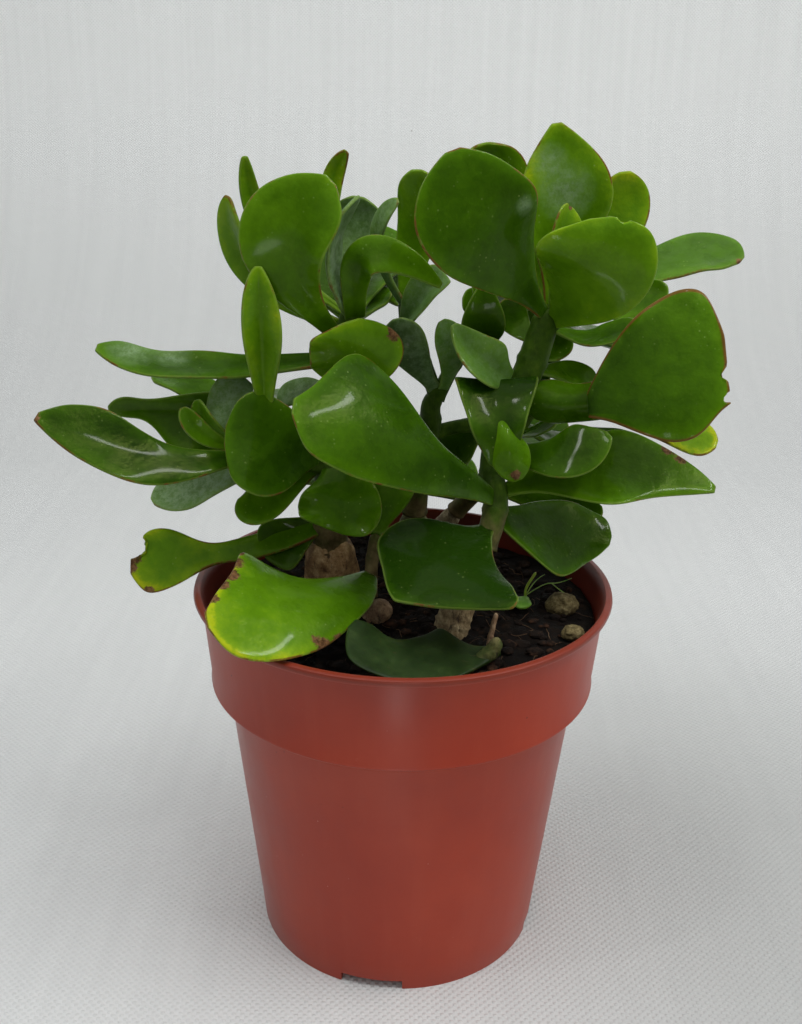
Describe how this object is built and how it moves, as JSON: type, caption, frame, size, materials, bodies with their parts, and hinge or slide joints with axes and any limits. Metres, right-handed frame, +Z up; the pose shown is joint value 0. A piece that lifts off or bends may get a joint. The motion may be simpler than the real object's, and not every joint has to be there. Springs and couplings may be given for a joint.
{
  "type": "potted jade plant",
  "caption": "Jade plant with glossy, waved fleshy leaves on branching stems, rooted in peat in a tapered plastic nursery pot.",
  "frame": {"origin": "centre of the flat disc under the pot, at the level that the pot stands on", "axes": "+Z up along the pot's axis; the plant's front, with the lime leaf and the fallen leaf, faces -Y; +X is to the right seen from the front"},
  "size_m": [0.1886, 0.1291, 0.2372],
  "materials": {
    "pot": "satin terracotta red-brown",
    "soil": "dark peat with fibres",
    "bark": "rough brown bark",
    "leaf": "glossy green, reddish margins",
    "dull_leaf": "dull bluish green",
    "twig": "dry, matt",
    "pebble": "matt, yellow-olive"
  },
  "bodies": {
    "root": {"pot": "pot", "soil": "soil", "trunk_left": "bark", "trunk_centre": "bark", "trunk_right": "bark", "trunk_back": "bark", "stub_front": "bark", "shoot_left": "leaf", "shoot_centre": "leaf", "shoot_right": "leaf", "shoot_back": "leaf", "shoot_front": "leaf", "leaf_fallen": "dull_leaf", "twig_dry": "twig", "stone_large": "pebble", "stone_small": "pebble", "seedling": "leaf"}
  },
  "joints": []
}
